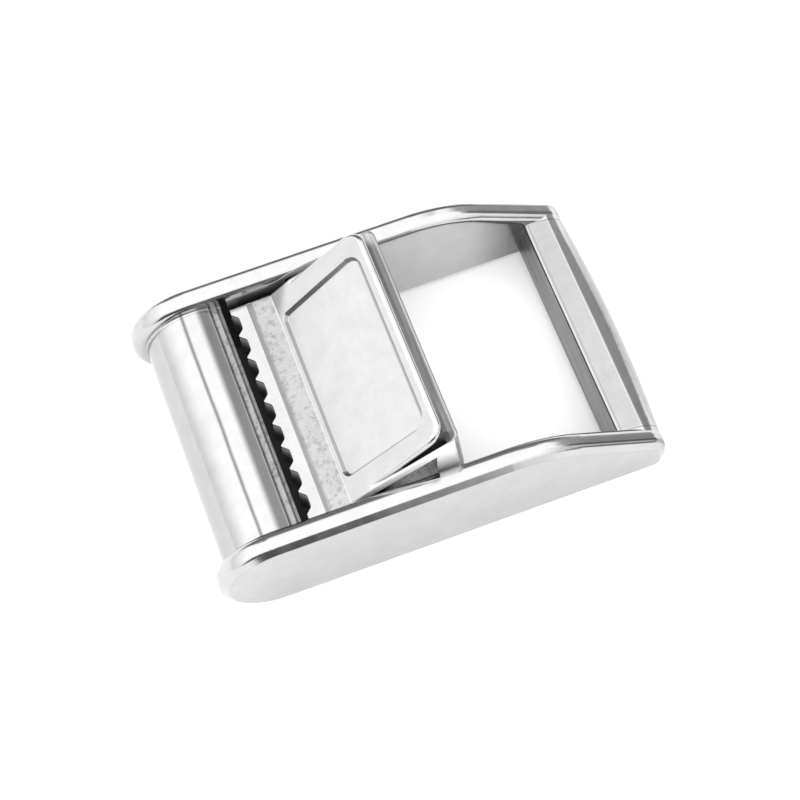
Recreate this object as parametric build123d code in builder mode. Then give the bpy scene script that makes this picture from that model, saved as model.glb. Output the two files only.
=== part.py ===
from build123d import *
import math
import os

# Cam buckle for flat webbing, stainless steel, in millimetres.
# X runs along the webbing from the front bar to the tail bar, Y across it, Z up.
# The origin is on the surface that the buckle rests on, under the middle of its length and width.

# Cheeks: the two side plates
WEBBING_WIDTH = 25.0
WEBBING_SIDE_ROOM = 1.0
CHEEK_LENGTH = 48.2
CHEEK_HEIGHT = 13.2
CHEEK_THICKNESS = 2.6
TAIL_SLOPE_LENGTH = 13.0
NOSE_HEIGHT = 4.6
SLOPE_BREAK_RADIUS = 14.0
NOSE_TOP_RADIUS = 3.2
NOSE_BOTTOM_RADIUS = 1.6
OUTER_BEVEL_DEPTH = 0.7
OUTER_BEVEL_DROP = 0.93
OUTER_TOP_RADIUS = 0.7
OUTER_SIDE_RADIUS = 0.3
INNER_EDGE_RADIUS = 1.05

# Front bar, cut flat at the back as the anvil that the teeth press the webbing on
BAR_INSET = 1.3
ANVIL_OFFSET = 3.2
LEDGE_OFFSET = 1.95
LEDGE_DROP = 0.55
BAR_SEAT = 0.3
BAR_FILLET = 0.35

# Tail bar, where the fixed strap is sewn on
TAIL_BAR_DEPTH = 5.4
TAIL_BAR_LEAN = 0.6
TAIL_BAR_FLOOR = 0.9
TAIL_BAR_INSET = 0.1
TAIL_BAR_BOW = 0.7
TAIL_BAR_SEAT = 0.7
TAIL_END_INSET = 0.1
TAIL_RIDGE_HEIGHT = 6.4
TAIL_TOP_LENGTH = 2.9
TAIL_RIDGE_RADIUS = 0.35
TAIL_BREAK_RADIUS = 0.6
TAIL_OUTER_RADIUS = 3.0
TAIL_LOWER_RADIUS = 1.2
TAIL_FRONT_RADIUS = 0.7

# Pivot pin, blind in one cheek and flush in the other
PIN_RADIUS = 2.0
PIN_SEAT_CLEARANCE = 0.02
PIN_RUNNING_CLEARANCE = 0.05
PIN_BLIND_DEPTH = 1.6
PIN_END_INSET = 0.05
PIVOT_HEIGHT = 6.6

# Cam lever
LEVER_SIDE_GAP = 0.5
LEVER_EDGE_RADIUS = 0.2
WEBBING_GAP = 0.8
NOSE_REACH = 11.5
TOOTH_RISE = 4.1
NOSE_DEPTH = 3.6
NOSE_UNDERCUT = 1.5
NOSE_RADIUS = 0.3
LAND_LENGTH = 4.45
LAND_SLOPE = 3.3
FOOT_RADIUS = 0.3
CREASE_FROM_TIP = 2.05
CREASE_RADIUS = 0.45
CREASE_DEPTH = 0.11
PAD_TILT = 40.9
PAD_RUN = 10.05
PAD_REAR_HEIGHT = 2.7
PAD_REAR_DRAFT = 0.3
PAD_SIDE_INSET = 0.22
PAD_CORNER_RADIUS = 1.7
PAD_EDGE_RADIUS = 0.45
PAD_SEAT = 1.0
PAD_RIM_HEIGHT = 0.8
PAD_RECESS_DEPTH = 1.3
SLAB_OVERHANG = 1.42
SLAB_SLOPE = 27.8
SLAB_CORNER_RADIUS = 0.9
REAR_WALL_LEAN = 0.6
REAR_WALL_RADIUS = 1.0
REAR_WALL_THICKNESS = 2.4
HUB_RADIUS = 4.2
POCKET_DEPTH = 2.5
POCKET_ROOF = 1.5
POCKET_SETBACK = 2.0
POCKET_FRONT_RISE = 1.0
POCKET_REAR_RISE = 3.2

# Sunken panel of the thumb pad
PANEL_DEPTH = 0.45
PANEL_FRONT_MARGIN = 0.35
PANEL_REAR_MARGIN = 1.5
PANEL_FRONT_SIDE_MARGIN = 2.53
PANEL_REAR_SIDE_MARGIN = 2.08
PANEL_SIDE_SHIFT = 0.15
PANEL_FRONT_RADIUS = 0.9
PANEL_REAR_RADIUS = 1.7
PANEL_WALL_TAPER = 35.0

# Teeth: grooves cut down the face of the nose
TOOTH_PITCH = 2.64
TOOTH_END_LAND = 0.45
TOOTH_DEPTH = 0.65
TOOTH_TIP_WIDTH = 0.12
TOOTH_FLOOR_WIDTH = 1.3
TOOTH_FLOOR_RADIUS = 0.55

# Allowances of the model itself
CUT_MARGIN = 1.0
MATCH_TOLERANCE = 0.01
EDGE_SHARE = 0.9

# Places worked out from the sizes
inner_half = (WEBBING_WIDTH + WEBBING_SIDE_ROOM) / 2
outer_half = inner_half + CHEEK_THICKNESS
lever_half = inner_half - LEVER_SIDE_GAP
bow_reach = TAIL_BAR_BOW - TAIL_END_INSET
front_x = -(CHEEK_LENGTH + bow_reach) / 2
nose_x = front_x + CHEEK_LENGTH
bevel_angle = math.atan2(OUTER_BEVEL_DROP, OUTER_BEVEL_DEPTH)
outer_round = OUTER_BEVEL_DEPTH + OUTER_TOP_RADIUS * math.tan(bevel_angle / 2)
edge_scale = min(1, EDGE_SHARE * CHEEK_THICKNESS / (outer_round + INNER_EDGE_RADIUS))
inner_edge = INNER_EDGE_RADIUS * edge_scale

bar_x = front_x + CHEEK_HEIGHT / 2
bar_z = CHEEK_HEIGHT / 2
bar_radius = CHEEK_HEIGHT / 2 - BAR_INSET
bar_fillet = min(BAR_FILLET, EDGE_SHARE * (BAR_INSET - inner_edge))
anvil_x = bar_x + ANVIL_OFFSET
slope_x = nose_x - TAIL_SLOPE_LENGTH
slope_angle = math.atan2(CHEEK_HEIGHT - NOSE_HEIGHT, TAIL_SLOPE_LENGTH)

ledge_x = bar_x + LEDGE_OFFSET
ledge_z = bar_z + math.sqrt(bar_radius**2 - LEDGE_OFFSET**2) - LEDGE_DROP
tail_front_x = nose_x - TAIL_BAR_DEPTH
tail_ridge_x = tail_front_x + TAIL_BAR_LEAN
tail_break_x = tail_ridge_x + TAIL_TOP_LENGTH

tip_x = anvil_x + WEBBING_GAP
tip_z = PIVOT_HEIGHT + TOOTH_RISE
pivot_x = tip_x + NOSE_REACH
land_rise = math.tan(math.radians(LAND_SLOPE))
crease_x = tip_x + CREASE_FROM_TIP
crease_z = tip_z + CREASE_FROM_TIP * land_rise + CREASE_RADIUS - CREASE_DEPTH
foot_x = tip_x + LAND_LENGTH
foot_z = tip_z + LAND_LENGTH * land_rise
pad_rise = math.tan(math.radians(PAD_TILT))
pad_x = foot_x + PAD_RUN
pad_z = foot_z + PAD_RUN * pad_rise
pad_length = PAD_RUN / math.cos(math.radians(PAD_TILT))
pad_half = lever_half - PAD_SIDE_INSET
panel_front_half = pad_half - PANEL_FRONT_SIDE_MARGIN
panel_rear_half = pad_half - PANEL_REAR_SIDE_MARGIN
tooth_grooves = int(2 * (lever_half - TOOTH_END_LAND) / TOOTH_PITCH)
slab_rise = math.tan(math.radians(SLAB_SLOPE))
slab_x = pad_x + SLAB_OVERHANG
wedge_x = pad_x - PAD_REAR_HEIGHT / (pad_rise - slab_rise)
rim_x = pad_x - (PAD_REAR_HEIGHT - PAD_RIM_HEIGHT) / (pad_rise - slab_rise)
rear_foot = (slab_x + REAR_WALL_LEAN, PIVOT_HEIGHT + HUB_RADIUS)
undercut = (tip_x + NOSE_UNDERCUT, tip_z - NOSE_DEPTH - NOSE_UNDERCUT / 2)
pocket_front_x = foot_x + POCKET_SETBACK
pocket_rear_x = slab_x - REAR_WALL_THICKNESS


def slab_top(x):
    """Height of the slab under the thumb pad."""
    return pad_z - PAD_REAR_HEIGHT + (x - pad_x) * slab_rise


def hub_tangent(point, turn):
    """Where the line from a point touches the hub, to its right for -1 or left for 1."""
    x = point[0] - pivot_x
    z = point[1] - PIVOT_HEIGHT
    angle = math.atan2(z, x) % (2 * math.pi) + turn * math.acos(HUB_RADIUS / math.hypot(x, z))
    return (pivot_x + HUB_RADIUS * math.cos(angle), PIVOT_HEIGHT + HUB_RADIUS * math.sin(angle))


def tail_slope(x):
    """Height of the tail bar's slope, which follows that of the cheeks a little lower."""
    slope = NOSE_HEIGHT + (nose_x - x) * math.tan(slope_angle)
    return slope - TAIL_BAR_INSET / math.cos(slope_angle)


def across(y):
    """The plane square to Y at y, with X to the right and Z up."""
    return Plane(origin=(0, y, 0), x_dir=(1, 0, 0), z_dir=(0, -1, 0))


# The outer rounding of the tail bar ends above the lower one and behind the break of its top
tail_corner = math.tan((math.pi / 2 - slope_angle) / 2)
tail_end_x = nose_x - TAIL_END_INSET
tail_outer_room = min(
    tail_slope(tail_end_x + TAIL_BAR_BOW) - TAIL_BAR_FLOOR - TAIL_LOWER_RADIUS,
    (tail_end_x - tail_break_x) / math.cos(slope_angle),
)
tail_outer_radius = min(TAIL_OUTER_RADIUS, EDGE_SHARE * tail_outer_room / tail_corner)

# Frame: cheeks, front bar and tail bar, cast in one
with BuildPart() as frame:
    # Cheeks
    for side in (-1, 1):
        with BuildSketch(across(side * (inner_half + outer_half) / 2)):
            with BuildLine():
                FilletPolyline(
                    (bar_x, CHEEK_HEIGHT),
                    (slope_x, CHEEK_HEIGHT),
                    (nose_x, NOSE_HEIGHT),
                    (nose_x, 0),
                    (bar_x, 0),
                    radius=[SLOPE_BREAK_RADIUS, NOSE_TOP_RADIUS, NOSE_BOTTOM_RADIUS],
                )
                ThreePointArc((bar_x, 0), (front_x, bar_z), (bar_x, CHEEK_HEIGHT))
            make_face()
        extrude(amount=CHEEK_THICKNESS / 2, both=True)
    cheek_faces = frame.faces().filter_by(Axis.Y).sort_by(Axis.Y)
    for face in (cheek_faces[0], cheek_faces[-1]):
        chamfer(face.edges(), OUTER_BEVEL_DROP * edge_scale, OUTER_BEVEL_DEPTH * edge_scale, reference=face)
    cheek_faces = frame.faces().filter_by(Axis.Y).sort_by(Axis.Y)
    fillet(cheek_faces[0].edges() + cheek_faces[-1].edges(), OUTER_SIDE_RADIUS * edge_scale)
    bevel_y = outer_half - OUTER_BEVEL_DEPTH * edge_scale
    bevel_rims = frame.edges().filter_by(
        lambda e: abs(abs((e @ 0).Y) - bevel_y) + abs(abs((e @ 1).Y) - bevel_y) < MATCH_TOLERANCE
    )
    fillet(bevel_rims, OUTER_TOP_RADIUS * edge_scale)
    cheek_faces = frame.faces().filter_by(Axis.Y).sort_by(Axis.Y)
    fillet(cheek_faces[1].edges() + cheek_faces[2].edges(), inner_edge)

    # Front bar, with its flat anvil face and the step of the ledge
    with BuildSketch(across(0)):
        with Locations((bar_x, bar_z)):
            Circle(bar_radius)
    extrude(amount=inner_half + BAR_SEAT, both=True)
    circles = frame.edges().filter_by(GeomType.CIRCLE)
    fillet(circles.filter_by(lambda e: abs(e.radius - bar_radius) < MATCH_TOLERANCE), bar_fillet)
    with BuildSketch(across(0)):
        with Locations((anvil_x, bar_z)):
            Rectangle(CHEEK_HEIGHT, CHEEK_HEIGHT, align=(Align.MIN, Align.CENTER))
        with Locations((ledge_x, ledge_z)):
            Rectangle(CHEEK_HEIGHT, CHEEK_HEIGHT, align=(Align.MIN, Align.MIN))
    extrude(amount=inner_half, both=True, mode=Mode.SUBTRACT)

    # Tail bar, bowed outwards between the cheeks
    for y, bow in ((-inner_half - TAIL_BAR_SEAT, 0), (0, TAIL_BAR_BOW), (inner_half + TAIL_BAR_SEAT, 0)):
        outer_x = nose_x - TAIL_END_INSET + bow
        with BuildSketch(across(y)):
            with BuildLine():
                FilletPolyline(
                    (tail_front_x, TAIL_BAR_FLOOR),
                    (outer_x, TAIL_BAR_FLOOR),
                    (outer_x, tail_slope(outer_x)),
                    (tail_break_x, tail_slope(tail_break_x)),
                    (tail_ridge_x, TAIL_RIDGE_HEIGHT),
                    close=True,
                    radius=[
                        TAIL_FRONT_RADIUS,
                        TAIL_LOWER_RADIUS,
                        tail_outer_radius,
                        TAIL_BREAK_RADIUS,
                        TAIL_RIDGE_RADIUS,
                    ],
                )
            make_face()
    loft()

    # Pin bore, blind in the cheek at -Y
    with BuildSketch(across(-inner_half - PIN_BLIND_DEPTH)):
        with Locations((pivot_x, PIVOT_HEIGHT)):
            Circle(PIN_RADIUS + PIN_SEAT_CLEARANCE)
    extrude(amount=-(PIN_BLIND_DEPTH + inner_half + outer_half), mode=Mode.SUBTRACT)

# Planes of the thumb pad's top and of the lever's rear wall
pad_plane = Plane(
    origin=(foot_x, 0, foot_z),
    x_dir=(math.cos(math.radians(PAD_TILT)), 0, math.sin(math.radians(PAD_TILT))),
    z_dir=(-math.sin(math.radians(PAD_TILT)), 0, math.cos(math.radians(PAD_TILT))),
)
wall_height = slab_top(slab_x) - rear_foot[1]
wall_plane = Plane(
    origin=(slab_x, 0, slab_top(slab_x)),
    x_dir=(wall_height, 0, REAR_WALL_LEAN),
    z_dir=(-REAR_WALL_LEAN, 0, wall_height),
)

# Thumb pad: a wedge with rounded rear corners, recessed under its rim at both sides
with BuildPart() as thumb_pad:
    with BuildSketch(across(0)):
        with BuildLine():
            Polyline(
                (foot_x, foot_z),
                (pad_x, pad_z),
                (pad_x + PAD_REAR_DRAFT, slab_top(pad_x) - PAD_SEAT),
                (foot_x, foot_z - PAD_SEAT),
                close=True,
            )
        make_face()
    extrude(amount=pad_half, both=True)
    rear_face = thumb_pad.faces().sort_by(Axis.X)[-1]
    fillet(rear_face.edges().filter_by(Axis.Y, reverse=True), PAD_CORNER_RADIUS)
    pad_top = thumb_pad.faces().sort_by(Axis((0, 0, 0), pad_plane.z_dir))[-1]
    fillet(pad_top.edges().sort_by(Axis.X)[1:], PAD_EDGE_RADIUS)
    for side in (-1, 1):
        with BuildSketch(across(side * pad_half)):
            with BuildLine():
                Polyline(
                    (rim_x, slab_top(rim_x)),
                    (slab_x, pad_z + (slab_x - pad_x) * pad_rise - PAD_RIM_HEIGHT),
                    (slab_x, slab_top(slab_x) - PAD_SEAT),
                    (rim_x, slab_top(rim_x) - PAD_SEAT),
                    close=True,
                )
            make_face()
        extrude(amount=side * PAD_RECESS_DEPTH, mode=Mode.SUBTRACT)

# Cam lever: toothed nose, slab, rear wall and hub, cast in one with the pad
with BuildPart() as cam_lever:
    with BuildSketch(across(0)):
        with BuildLine():
            FilletPolyline(
                hub_tangent(rear_foot, -1),
                rear_foot,
                (slab_x, slab_top(slab_x)),
                (wedge_x, slab_top(wedge_x)),
                (foot_x, foot_z),
                (tip_x, tip_z),
                (tip_x, tip_z - NOSE_DEPTH),
                undercut,
                hub_tangent(undercut, 1),
                radius=[
                    REAR_WALL_RADIUS,
                    0,
                    FOOT_RADIUS,
                    FOOT_RADIUS,
                    0,
                    NOSE_RADIUS,
                    NOSE_RADIUS,
                ],
            )
            ThreePointArc(
                hub_tangent(rear_foot, -1),
                (pivot_x, PIVOT_HEIGHT - HUB_RADIUS),
                hub_tangent(undercut, 1),
            )
        make_face()
    extrude(amount=lever_half, both=True)

    # Rounded corners of the rear wall, then the rims of the slab and the nose
    with BuildSketch(wall_plane):
        for side in (-1, 1):
            with Locations((0, side * lever_half)):
                Rectangle(2 * SLAB_CORNER_RADIUS, 2 * SLAB_CORNER_RADIUS)
            with Locations((-SLAB_CORNER_RADIUS, side * (lever_half - SLAB_CORNER_RADIUS))):
                Circle(SLAB_CORNER_RADIUS, mode=Mode.SUBTRACT)
    extrude(amount=CHEEK_HEIGHT, both=True, mode=Mode.SUBTRACT)
    slab_normal = (-math.sin(math.radians(SLAB_SLOPE)), 0, math.cos(math.radians(SLAB_SLOPE)))
    slab_face = cam_lever.faces().sort_by(Axis((0, 0, 0), slab_normal))[-1]
    side_faces = cam_lever.faces().filter_by(Axis.Y).sort_by(Axis.Y)
    nose_rims = side_faces[0].edges() + side_faces[-1].edges()
    nose_rims = nose_rims.filter_by(lambda e: e.center().Z > tip_z and e.center().X < wedge_x)
    fillet(slab_face.edges().sort_by(Axis.X)[1:] + nose_rims, LEVER_EDGE_RADIUS)
    add(thumb_pad.part)

    # Sunken panel
    with BuildSketch(pad_plane) as panel:
        with BuildLine():
            Polyline(
                (PANEL_FRONT_MARGIN, -panel_front_half - PANEL_SIDE_SHIFT),
                (pad_length - PANEL_REAR_MARGIN, -panel_rear_half - PANEL_SIDE_SHIFT),
                (pad_length - PANEL_REAR_MARGIN, panel_rear_half - PANEL_SIDE_SHIFT),
                (PANEL_FRONT_MARGIN, panel_front_half - PANEL_SIDE_SHIFT),
                close=True,
            )
        make_face()
        fillet(panel.vertices().sort_by(Axis.X)[:2], PANEL_FRONT_RADIUS)
        fillet(panel.vertices().sort_by(Axis.X)[-2:], PANEL_REAR_RADIUS)
    extrude(amount=-PANEL_DEPTH, taper=PANEL_WALL_TAPER, mode=Mode.SUBTRACT)

    # Crease between the land behind the teeth and the rough band
    with BuildSketch(across(0)):
        with Locations((crease_x, crease_z)):
            Circle(CREASE_RADIUS)
    extrude(amount=lever_half, both=True, mode=Mode.SUBTRACT)

    # Tooth grooves
    with BuildSketch(Plane.XY.offset(tip_z + CUT_MARGIN)) as grooves:
        with GridLocations(0, TOOTH_PITCH, 1, tooth_grooves):
            Polygon(
                (tip_x, TOOTH_PITCH / 2 - TOOTH_TIP_WIDTH / 2),
                (tip_x, TOOTH_TIP_WIDTH / 2 - TOOTH_PITCH / 2),
                (tip_x + TOOTH_DEPTH, -TOOTH_FLOOR_WIDTH / 2),
                (tip_x + TOOTH_DEPTH, TOOTH_FLOOR_WIDTH / 2),
                align=None,
            )
        floor_corners = grooves.vertices().filter_by(lambda v: v.X > tip_x + TOOTH_DEPTH / 2)
        fillet(floor_corners, TOOTH_FLOOR_RADIUS)
    extrude(amount=-(NOSE_DEPTH + NOSE_UNDERCUT + CUT_MARGIN), mode=Mode.SUBTRACT)

    # Side pockets between nose, hub and rear wall
    for side in (-1, 1):
        with BuildSketch(across(side * lever_half)):
            with BuildLine():
                Polyline(
                    (pocket_front_x, slab_top(pocket_front_x) - POCKET_ROOF),
                    (pocket_rear_x, slab_top(pocket_rear_x) - POCKET_ROOF),
                    (pocket_rear_x, PIVOT_HEIGHT + POCKET_REAR_RISE),
                    (pocket_front_x, PIVOT_HEIGHT + POCKET_FRONT_RISE),
                    close=True,
                )
            make_face()
            with Locations((pivot_x, PIVOT_HEIGHT)):
                Circle(HUB_RADIUS, mode=Mode.SUBTRACT)
        extrude(amount=side * POCKET_DEPTH, mode=Mode.SUBTRACT)

    # Hub bore
    with BuildSketch(across(0)):
        with Locations((pivot_x, PIVOT_HEIGHT)):
            Circle(PIN_RADIUS + PIN_RUNNING_CLEARANCE)
    extrude(amount=lever_half, both=True, mode=Mode.SUBTRACT)

# Pivot pin, from the blind end of its bore to the outside of the cheek at +Y
with BuildPart() as pivot_pin:
    with BuildSketch(across(PIN_SEAT_CLEARANCE - inner_half - PIN_BLIND_DEPTH)):
        with Locations((pivot_x, PIVOT_HEIGHT)):
            Circle(PIN_RADIUS)
    extrude(amount=-(PIN_BLIND_DEPTH + inner_half + outer_half - PIN_SEAT_CLEARANCE - PIN_END_INSET))

os.makedirs("parts", exist_ok=True)
frame.part.label = "frame"
export_step(frame.part, "parts/frame.step")
cam_lever.part.label = "cam_lever"
export_step(cam_lever.part, "parts/cam_lever.step")
pivot_pin.part.label = "pivot_pin"
export_step(pivot_pin.part, "parts/pivot_pin.step")
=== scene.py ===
import math

import bpy
from mathutils import Matrix, Vector


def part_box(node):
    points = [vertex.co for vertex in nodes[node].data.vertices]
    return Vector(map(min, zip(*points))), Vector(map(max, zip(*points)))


MM = 0.001

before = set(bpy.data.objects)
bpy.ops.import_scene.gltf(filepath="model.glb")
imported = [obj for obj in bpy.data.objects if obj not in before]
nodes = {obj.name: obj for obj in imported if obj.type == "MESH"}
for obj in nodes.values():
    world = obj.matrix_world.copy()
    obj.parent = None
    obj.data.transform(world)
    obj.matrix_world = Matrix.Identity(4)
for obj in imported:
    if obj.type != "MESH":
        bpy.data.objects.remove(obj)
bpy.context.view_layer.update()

# Camera: where the photo was taken from
VIEW_AZIMUTH = -16.1
VIEW_ELEVATION = 64.86
VIEW_ROLL = -4.66
VIEW_DISTANCE = 227.66 * MM
VIEW_TARGET = Vector((-0.49, -1.83, 7.0)) * MM
LENS = 99.9
SENSOR = 36.0

# Light tent: its brightness at the horizon and above
TENT_LOW = 1.4
TENT_HIGH = 2.05
# Dark cards in it: azimuth, half width, lower and upper edge in degrees, softness, light left
TENT_CARDS = (
    (254, 25, -12, 27, 0.11, 0.08),
    (325, 23, -12, 9, 0.12, 0.2),
    (85, 40, -12, 50, 0.12, 0.18),
    (20, 26, -12, 34, 0.1, 0.36),
    (8, 12, -12, 30, 0.1, 0.5),
)

# Floor, and a painted shadow on it under the gap between the bar and the teeth
FLOOR_SIZE = 1.2
FLOOR_GREY = 0.9
FLOOR_GLOW = 0.2
GAP_SHADE = 0.05
GAP_START = -15.0 * MM
GAP_END = -12.2 * MM

# Steel: its grey, its blue, its polished patches, its rough cast skin and its matt places
STEEL_GREY = 0.5
STEEL_BLUE = 1.01
PATCH_SCALE = 420.0
MIRROR_ROUGHNESS = 0.11
CAST_DEPTH = 0.025 * MM
MATT_METALLIC = 0.45

# Places on the frame: some along X from its front end, the others from the origin
FRAME_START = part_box("frame")[0].x
CHEEK_INNER = 13.0 * MM
CHEEK_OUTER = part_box("frame")[1].y
# Place of the painted dark reflection line along the front bar
PAINTED_LINE_PLACE = FRAME_START + 5.6 * MM
LEDGE_START = FRAME_START + 8.55 * MM
LEDGE_END = FRAME_START + 9.8 * MM
LEDGE_HEIGHT = 10.5 * MM
TAIL_START = FRAME_START + 42.6 * MM

# Places on the lever: some along X from its nose, the others from the origin
LEVER_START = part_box("cam_lever")[0].x
LEVER_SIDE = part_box("cam_lever")[1].y
CREASE_PLACE = LEVER_START + 2.05 * MM
FOOT_PLACE = LEVER_START + 4.45 * MM
FOOT_HEIGHT = 10.96 * MM
NOSE_TOP = 10.6 * MM
PAD_TILT = 40.9
PAD_LENGTH = 13.3 * MM
PANEL_SIDE = 11.0 * MM
PANEL_DEPTH = 0.5 * MM
SLAB_DEPTH = 1.0 * MM
POCKET_DEPTH = 2.5 * MM
HUB_START = -5.5 * MM
HUB_END = 0.6 * MM
HUB_LOW = 9.4 * MM
HUB_TOP = 11.0 * MM
REAR_START = 0.75 * MM


def add_camera():
    azimuth, elevation, roll = map(math.radians, (VIEW_AZIMUTH, VIEW_ELEVATION, VIEW_ROLL))
    back = Vector((
        math.sin(azimuth) * math.cos(elevation),
        -math.cos(azimuth) * math.cos(elevation),
        math.sin(elevation),
    ))
    level = Vector((math.cos(azimuth), math.sin(azimuth), 0))
    upright = back.cross(level)
    right = level * math.cos(roll) + upright * math.sin(roll)
    up = upright * math.cos(roll) - level * math.sin(roll)
    camera_data = bpy.data.cameras.new("photo_camera")
    camera_data.lens = LENS
    camera_data.sensor_width = SENSOR
    camera_data.clip_start = 0.01
    camera_data.clip_end = 20
    camera = bpy.data.objects.new("photo_camera", camera_data)
    bpy.context.scene.collection.objects.link(camera)
    turned = Matrix((right, up, back)).transposed().to_4x4()
    camera.matrix_world = Matrix.Translation(VIEW_TARGET + back * VIEW_DISTANCE) @ turned
    bpy.context.scene.camera = camera


class Graph:
    """A node tree with short calls for the few kinds of node used here."""

    def __init__(self, tree):
        self.tree = tree
        tree.nodes.clear()

    def node(self, kind, inputs=None):
        made = self.tree.nodes.new(kind)
        for name, value in (inputs or {}).items():
            self.put(made.inputs[name], value)
        return made

    def put(self, socket, value):
        if isinstance(value, bpy.types.NodeSocket):
            self.tree.links.new(value, socket)
        else:
            socket.default_value = value

    def math(self, operation, a, b=0.0):
        made = self.tree.nodes.new("ShaderNodeMath")
        made.operation = operation
        self.put(made.inputs[0], a)
        self.put(made.inputs[1], b)
        return made.outputs[0]

    def product(self, *factors):
        total = factors[0]
        for factor in factors[1:]:
            total = self.math("MULTIPLY", total, factor)
        return total

    def largest(self, *values):
        total = values[0]
        for value in values[1:]:
            total = self.math("MAXIMUM", total, value)
        return total

    def outside(self, mask):
        return self.math("SUBTRACT", 1.0, mask)

    def dot(self, vector, axis):
        made = self.tree.nodes.new("ShaderNodeVectorMath")
        made.operation = "DOT_PRODUCT"
        self.put(made.inputs[0], vector)
        made.inputs[1].default_value = axis
        return made.outputs["Value"]

    def ramp(self, value, low, high, start=0.0, end=1.0, smooth=True):
        made = self.tree.nodes.new("ShaderNodeMapRange")
        made.interpolation_type = "SMOOTHSTEP" if smooth else "LINEAR"
        for name, number in {
            "Value": value, "From Min": low, "From Max": high, "To Min": start, "To Max": end,
        }.items():
            self.put(made.inputs[name], number)
        return made.outputs["Result"]

    def before(self, value, low, high):
        """1 up to low and 0 from high on."""
        return self.ramp(value, low, high, 1.0, 0.0)

    def band(self, value, low, high, soft):
        """1 between low and high and 0 outside, with soft edges."""
        rising = self.ramp(value, low - soft, low + soft)
        return self.math("MULTIPLY", rising, self.before(value, high - soft, high + soft))

    def mix(self, factor, a, b):
        made = self.tree.nodes.new("ShaderNodeMix")
        made.data_type = "FLOAT"
        self.put(made.inputs[0], factor)
        self.put(made.inputs[2], a)
        self.put(made.inputs[3], b)
        return made.outputs[0]

    def stretched(self, vector, scale):
        made = self.tree.nodes.new("ShaderNodeVectorMath")
        made.operation = "MULTIPLY"
        self.put(made.inputs[0], vector)
        made.inputs[1].default_value = scale
        return made.outputs["Vector"]

    def noise(self, vector, scale, detail=3.0, roughness=0.5):
        return self.node("ShaderNodeTexNoise", {
            "Vector": vector, "Scale": scale, "Detail": detail, "Roughness": roughness,
        }).outputs["Fac"]

    def bump(self, height, distance, normal=None):
        made = self.node("ShaderNodeBump", {
            "Height": height, "Distance": distance, "Strength": 1.0,
        })
        if normal is not None:
            self.put(made.inputs["Normal"], normal)
        return made.outputs["Normal"]


def direction(azimuth, elevation):
    a, e = math.radians(azimuth), math.radians(elevation)
    return Vector((math.cos(a) * math.cos(e), math.sin(a) * math.cos(e), math.sin(e)))


def dark_card(g, way, azimuth, half_width, low, high, soft):
    """1 where a card stands in the tent, by its azimuth and its span in height."""
    ahead = g.dot(way, direction(azimuth, 0))
    sideways = g.dot(way, direction(azimuth + 90, 0))
    aside = g.math("DIVIDE", sideways, g.math("MAXIMUM", ahead, 0.001))
    reach = math.tan(math.radians(half_width))
    bottom, top = math.sin(math.radians(low)), math.sin(math.radians(high))
    return g.product(
        g.ramp(ahead, 0.02, 0.1),
        g.band(aside, -reach, reach, soft),
        g.band(g.dot(way, (0, 0, 1)), bottom, top, soft * 0.6),
    )


def add_world():
    """A soft white tent, brighter above than at the horizon, with dark cards in it."""
    world = bpy.data.worlds.new("studio")
    bpy.context.scene.world = world
    world.use_nodes = True
    g = Graph(world.node_tree)
    way = g.node("ShaderNodeTexCoord").outputs["Generated"]
    height = g.dot(way, (0, 0, 1))
    light = g.ramp(height, 0.0, 0.75, TENT_LOW, TENT_HIGH)
    for *card, left in TENT_CARDS:
        light = g.product(light, g.mix(dark_card(g, way, *card), 1.0, left))
    background = g.node("ShaderNodeBackground", {"Strength": light, "Color": (1, 1, 1, 1)})
    g.node("ShaderNodeOutputWorld", {"Surface": background.outputs[0]})


def new_material(name):
    """A material, its graph and its object coordinates: the whole vector and its three parts."""
    material = bpy.data.materials.new(name)
    material.use_nodes = True
    g = Graph(material.node_tree)
    place = g.node("ShaderNodeTexCoord").outputs["Object"]
    x, y, z = g.node("ShaderNodeSeparateXYZ", {"Vector": place}).outputs
    return material, g, place, x, y, z


def floor_paper():
    """White paper, with a painted shadow under the gap between the bar and the teeth."""
    material, g, _, x, y, _ = new_material("floor_paper")
    painted_gap_shadow = g.product(
        g.band(x, GAP_START, GAP_END, 0.4 * MM),
        g.before(g.math("ABSOLUTE", y), CHEEK_INNER + 1.1 * MM, CHEEK_INNER + 1.4 * MM),
    )
    lit = g.mix(painted_gap_shadow, 1.0, GAP_SHADE)
    grey = g.math("MULTIPLY", lit, FLOOR_GREY)
    color = g.node("ShaderNodeCombineColor", {"Red": grey, "Green": grey, "Blue": grey}).outputs[0]
    shader = g.node("ShaderNodeBsdfPrincipled", {
        "Base Color": color,
        "Roughness": 0.9,
        "Specular IOR Level": 0.0,
        "Emission Color": (1, 1, 1, 1),
        "Emission Strength": g.math("MULTIPLY", lit, FLOOR_GLOW),
    })
    g.node("ShaderNodeOutputMaterial", {"Surface": shader.outputs[0]})
    return material


def add_floor():
    mesh = bpy.data.meshes.new("floor")
    h = FLOOR_SIZE / 2
    mesh.from_pydata([(-h, -h, 0), (h, -h, 0), (h, h, 0), (-h, h, 0)], [], [(0, 1, 2, 3)])
    floor = bpy.data.objects.new("floor", mesh)
    bpy.context.scene.collection.objects.link(floor)
    mesh.materials.append(floor_paper())


def finish_steel(g, grey, roughness, normal, metallic=1.0):
    color = g.node("ShaderNodeCombineColor", {
        "Red": grey, "Green": grey, "Blue": g.math("MULTIPLY", grey, STEEL_BLUE),
    }).outputs[0]
    shader = g.node("ShaderNodeBsdfPrincipled", {
        "Base Color": color, "Metallic": metallic, "Roughness": roughness, "Normal": normal,
    })
    g.node("ShaderNodeOutputMaterial", {"Surface": shader.outputs[0]})


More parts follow.
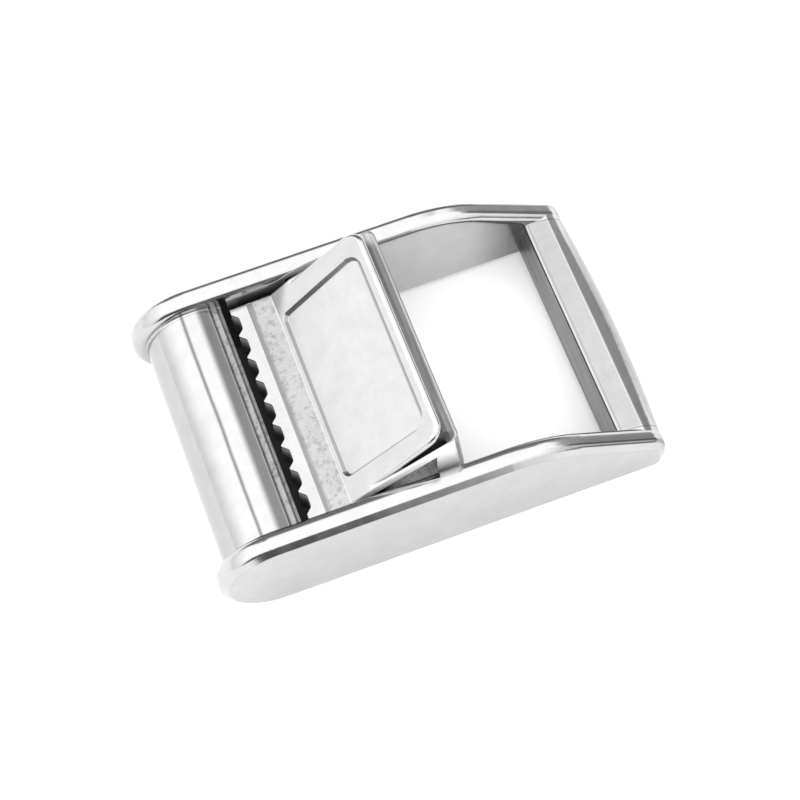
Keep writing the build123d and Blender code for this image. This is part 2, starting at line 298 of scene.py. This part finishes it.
def polish(g, place):
    """Relief of hand-polished cast steel: slow waves and buffing lines along X."""
    waves = g.bump(g.noise(place, 170.0, 1.0), 0.035 * MM)
    lines = g.noise(g.stretched(place, (120.0, 2600.0, 2600.0)), 1.0, 2.0)
    return g.bump(lines, 0.0009 * MM, waves)


def patchy(g, place, darkest, lightest, roughest):
    """Grey and roughness of hand-polished steel, which vary in small patches."""
    patches = g.noise(place, PATCH_SCALE, 5.0, 0.65)
    shade = g.ramp(patches, 0.3, 0.7, darkest, lightest, smooth=False)
    roughness = g.ramp(patches, 0.3, 0.7, MIRROR_ROUGHNESS, roughest)
    return g.math("MULTIPLY", STEEL_GREY, shade), roughness


def streaks(g, place, fineness, least, most):
    """A share between least and most, in fine streaks along Y."""
    lines = g.noise(g.stretched(place, (fineness, 60.0, fineness)), 1.0, 2.0)
    return g.ramp(lines, 0.35, 0.65, least, most)


def specks(g, place, least):
    """Small dark specks of a cast skin, down to the share least."""
    return g.ramp(g.noise(place, 1700.0, 4.0, 0.75), 0.36, 0.52, least, 1.0)


def cast_relief(g, place, mask):
    """Polish, with rough cast skin where mask is 1."""
    grain = g.noise(place, 2600.0, 3.0, 0.65)
    return g.bump(g.product(grain, mask), CAST_DEPTH, polish(g, place))


def paint(g, grey, roughness, zones):
    """Scales the grey and sets the roughness in each zone: (mask, scale, roughness)."""
    for mask, scale, finish in zones:
        grey = g.product(grey, g.mix(mask, 1.0, scale))
        roughness = g.mix(mask, roughness, finish)
    return grey, roughness


def bar_zones(g, place, between, ledge, x, z):
    """The front bar: its cast ledge with painted shade lines at its foot and edge, painted shade
    on its flank, rounded front and anvil, and a thin painted dark reflection line along it.
    """
    high = g.ramp(z, LEDGE_HEIGHT - 0.3 * MM, LEDGE_HEIGHT)
    foot = g.before(x, LEDGE_START + 0.15 * MM, LEDGE_START + 0.35 * MM)
    edge = g.band(x, LEDGE_END - 0.5 * MM, LEDGE_END - 0.25 * MM, 0.06 * MM)
    flank = g.band(x, LEDGE_START - 1.25 * MM, LEDGE_START + 0.1 * MM, 0.4 * MM)
    front = g.before(x, FRAME_START + 1.4 * MM, FRAME_START + 4.2 * MM)
    wander = g.math("ADD", x, g.math("MULTIPLY", g.noise(place, 120.0, 2.0), 0.25 * MM))
    line = g.band(wander, PAINTED_LINE_PLACE, PAINTED_LINE_PLACE + 0.25 * MM, 0.2 * MM)
    anvil = g.product(
        g.band(x, LEDGE_END - 0.1 * MM, LEDGE_END + 0.2 * MM, 0.02 * MM),
        g.before(z, LEDGE_HEIGHT, LEDGE_HEIGHT + 0.3 * MM),
    )
    # Painted shade: ledge foot and edge lines, flank, rounded front, anvil; painted reflection:
    # the thin line.
    return (
        (ledge, g.product(0.68, specks(g, place, 0.6)), 0.4),
        (g.product(ledge, foot), 0.35, 0.4),
        (g.product(ledge, edge), 0.25, 0.4),
        (g.product(between, flank, high), 0.33, 0.25),
        (g.product(between, front), 0.82, 0.14),
        (g.product(between, line, high), 0.22, 0.25),
        (g.product(between, anvil), 0.12, 0.4),
    )


def tail_zones(g, place, between, tail_front, faces, x):
    """The tail bar: painted shade in streaks on its front, painted shade on its top with a painted
    dark line along it, and painted shade on its outer edge.
    """
    top = g.band(x, TAIL_START + 1.0 * MM, TAIL_START + 3.5 * MM, 0.15 * MM)
    line = g.band(x, TAIL_START + 1.15 * MM, TAIL_START + 1.3 * MM, 0.1 * MM)
    outer = g.ramp(x, TAIL_START + 4.6 * MM, TAIL_START + 5.2 * MM)
    # All four zones darken the grey as painted shade; the streaks on the front are its texture.
    return (
        (tail_front, streaks(g, place, 2200.0, 0.3, 0.5), 0.3),
        (g.product(between, top), 0.78, 0.2),
        (g.product(between, line), 0.75, 0.2),
        (g.product(outer, g.outside(faces)), 0.7, 0.18),
    )


def cheek_zones(g, faces, across, x):
    """The cheeks: painted shade along the outer edge of their slope, in their inner corner there
    and on their faces.
    """
    on_slope = g.ramp(x, TAIL_START - 9 * MM, TAIL_START - 5 * MM)
    edge = g.band(across, CHEEK_INNER + 1.6 * MM, CHEEK_INNER + 2 * MM, 0.08 * MM)
    inside = g.band(across, CHEEK_INNER - 0.05 * MM, CHEEK_INNER + 0.1 * MM, 0.04 * MM)
    near_tail = g.ramp(x, TAIL_START - 5.5 * MM, TAIL_START - 1 * MM)
    # Each zone darkens the grey as painted shade.
    return (
        (g.product(on_slope, edge), 0.6, 0.14),
        (g.product(inside, near_tail), 0.62, 0.2),
        (faces, 0.9, 0.14),
    )


def polished_steel():
    material, g, place, x, y, z = new_material("polished_steel")
    across = g.math("ABSOLUTE", y)
    between = g.before(across, CHEEK_INNER - 0.1 * MM, CHEEK_INNER + 0.05 * MM)
    faces = g.ramp(across, CHEEK_OUTER - 0.15 * MM, CHEEK_OUTER - 0.03 * MM)
    ledge = g.product(
        between,
        g.band(x, LEDGE_START, LEDGE_END, 0.03 * MM),
        g.ramp(z, LEDGE_HEIGHT - 0.3 * MM, LEDGE_HEIGHT),
    )
    tail_front = g.product(
        between, g.band(x, TAIL_START - 1 * MM, TAIL_START + 0.85 * MM, 0.1 * MM),
    )
    grey, roughness = patchy(g, place, 0.9, 1.02, 0.16)
    grey, roughness = paint(g, grey, roughness, (
        *bar_zones(g, place, between, ledge, x, z),
        *tail_zones(g, place, between, tail_front, faces, x),
        *cheek_zones(g, faces, across, x),
    ))
    rough = g.largest(ledge, g.math("MULTIPLY", tail_front, 0.3))
    finish_steel(g, grey, roughness, cast_relief(g, place, rough))
    return material


def pad_place(g, x, z):
    """Height over the pad's plane, and the way up along the pad from its foot."""
    tilt = math.radians(PAD_TILT)
    along = g.math("SUBTRACT", x, FOOT_PLACE)
    rise = g.math("SUBTRACT", z, FOOT_HEIGHT)
    over = g.math(
        "SUBTRACT",
        g.math("MULTIPLY", rise, math.cos(tilt)),
        g.math("MULTIPLY", along, math.sin(tilt)),
    )
    run = g.math(
        "ADD",
        g.math("MULTIPLY", along, math.cos(tilt)),
        g.math("MULTIPLY", rise, math.sin(tilt)),
    )
    return over, run


def pad_zones(g, over, run, across):
    """The thumb pad: painted light on its rim and sunken panel, and painted shade on the panel's
    walls and its upper end.
    """
    within = g.product(
        g.band(run, 0.3 * MM, PAD_LENGTH - 1.2 * MM, 0.05 * MM),
        g.before(across, PANEL_SIDE - 0.2 * MM, PANEL_SIDE),
    )
    wall_foot = 0.1 * MM - PANEL_DEPTH
    rim = g.product(g.ramp(over, -0.1 * MM, -0.03 * MM), g.ramp(run, 0.1 * MM, 0.3 * MM))
    floor = g.band(over, -0.1 * MM - PANEL_DEPTH, wall_foot, 0.03 * MM)
    panel = g.product(within, floor)
    walls = g.product(within, g.band(over, wall_foot, -0.05 * MM, 0.03 * MM))
    end = g.ramp(run, PAD_LENGTH - 2.25 * MM, PAD_LENGTH - 1.95 * MM)
    # Rim and panel: painted light; panel walls and upper end: painted shade.
    return panel, (
        (rim, 1.08, 0.15),
        (panel, 1.14, 0.26),
        (walls, 0.6, 0.3),
        (g.product(panel, end), 0.5, 0.3),
    )


def nose_zones(g, place, under, groove, band, x, z):
    """The nose: painted shade on its underside, painted light on the grooves, a little painted
    shade on the land, the rough cast band, and painted shade in the crease.
    """
    top = g.ramp(z, NOSE_TOP - 0.2 * MM, NOSE_TOP)
    land = g.before(x, CREASE_PLACE - 0.3 * MM, CREASE_PLACE - 0.1 * MM)
    crease = g.band(x, CREASE_PLACE - 0.2 * MM, CREASE_PLACE + 0.2 * MM, 0.15 * MM)
    # Underside, land and crease: painted shade; grooves: painted light; the cast band is its own
    # rough skin.
    return (
        (under, 0.22, 0.5),
        (groove, 1.4, 0.5),
        (g.product(top, land), 0.92, 0.15),
        (band, g.product(0.9, specks(g, place, 0.72)), 0.42),
        (g.product(top, crease), 0.45, 0.3),
    )


def hub_in_pocket(g, x, across, z):
    """1 on the hub where it shows in the side pockets."""
    pocket_floor = LEVER_SIDE - POCKET_DEPTH
    return g.product(
        g.ramp(across, pocket_floor - 0.1 * MM, pocket_floor + 0.1 * MM),
        g.band(z, HUB_LOW, HUB_TOP, 0.1 * MM),
        g.band(x, HUB_START, HUB_END, 0.1 * MM),
    )


def rear_wall(g, over, x):
    """1 on the rear wall, below the pad's slab."""
    return g.product(
        g.before(over, -SLAB_DEPTH, 0.1 * MM - SLAB_DEPTH),
        g.ramp(x, REAR_START, REAR_START + 0.2 * MM),
    )


def cast_steel():
    material, g, place, x, y, z = new_material("cast_steel")
    across = g.math("ABSOLUTE", y)
    over, run = pad_place(g, x, z)
    # Painted shade under the nose, strongest low down and fading out towards the nose's top.
    under = g.before(z, NOSE_TOP - 2.4 * MM, NOSE_TOP)
    groove = g.product(
        g.before(z, NOSE_TOP - 0.2 * MM, NOSE_TOP),
        g.before(x, LEVER_START + 1 * MM, LEVER_START + 1.2 * MM),
    )
    band = g.product(
        g.ramp(z, NOSE_TOP - 0.2 * MM, NOSE_TOP),
        g.band(x, CREASE_PLACE + 0.15 * MM, FOOT_PLACE - 0.05 * MM, 0.12 * MM),
    )
    flat_sides = g.ramp(across, LEVER_SIDE - 0.12 * MM, LEVER_SIDE - 0.03 * MM)
    sides = g.product(flat_sides, g.outside(under))
    hub = g.product(hub_in_pocket(g, x, across, z), g.outside(sides))
    rear = g.product(rear_wall(g, over, x), g.outside(sides))
    panel, on_pad = pad_zones(g, over, run, across)
    grey, roughness = patchy(g, place, 0.92, 1.03, 0.17)
    grey, roughness = paint(g, grey, roughness, (
        *nose_zones(g, place, under, groove, band, x, z),
        *on_pad,
        # Painted light on the flat sides and on the hub in the pockets, with cast specks on the
        # hub; painted shade in streaks on the rear wall below the slab.
        (sides, 1.9, 0.55),
        (hub, g.product(1.7, specks(g, place, 0.6)), 0.5),
        (rear, streaks(g, place, 2600.0, 0.55, 0.95), 0.35),
    ))
    rough = g.largest(band, sides, g.math("MULTIPLY", panel, 0.12), g.math("MULTIPLY", rear, 0.3))
    matt = g.largest(groove, hub, g.math("MULTIPLY", sides, 0.7))
    metallic = g.mix(matt, 1.0, MATT_METALLIC)
    finish_steel(g, grey, roughness, cast_relief(g, place, rough), metallic)
    return material


def pin_steel():
    material, g, place, _, _, _ = new_material("pin_steel")
    lines = g.noise(g.stretched(place, (2500.0, 90.0, 2500.0)), 1.0, 2.0)
    roughness = g.ramp(lines, 0.3, 0.7, 0.22, 0.36)
    finish_steel(g, STEEL_GREY, roughness, g.bump(lines, 0.003 * MM))
    return material


def dress(node, material):
    nodes[node].material_slots[0].material = material


bpy.context.scene.view_settings.view_transform = "Standard"
add_camera()
add_world()
add_floor()
dress("frame", polished_steel())
dress("cam_lever", cast_steel())
dress("pivot_pin", pin_steel())
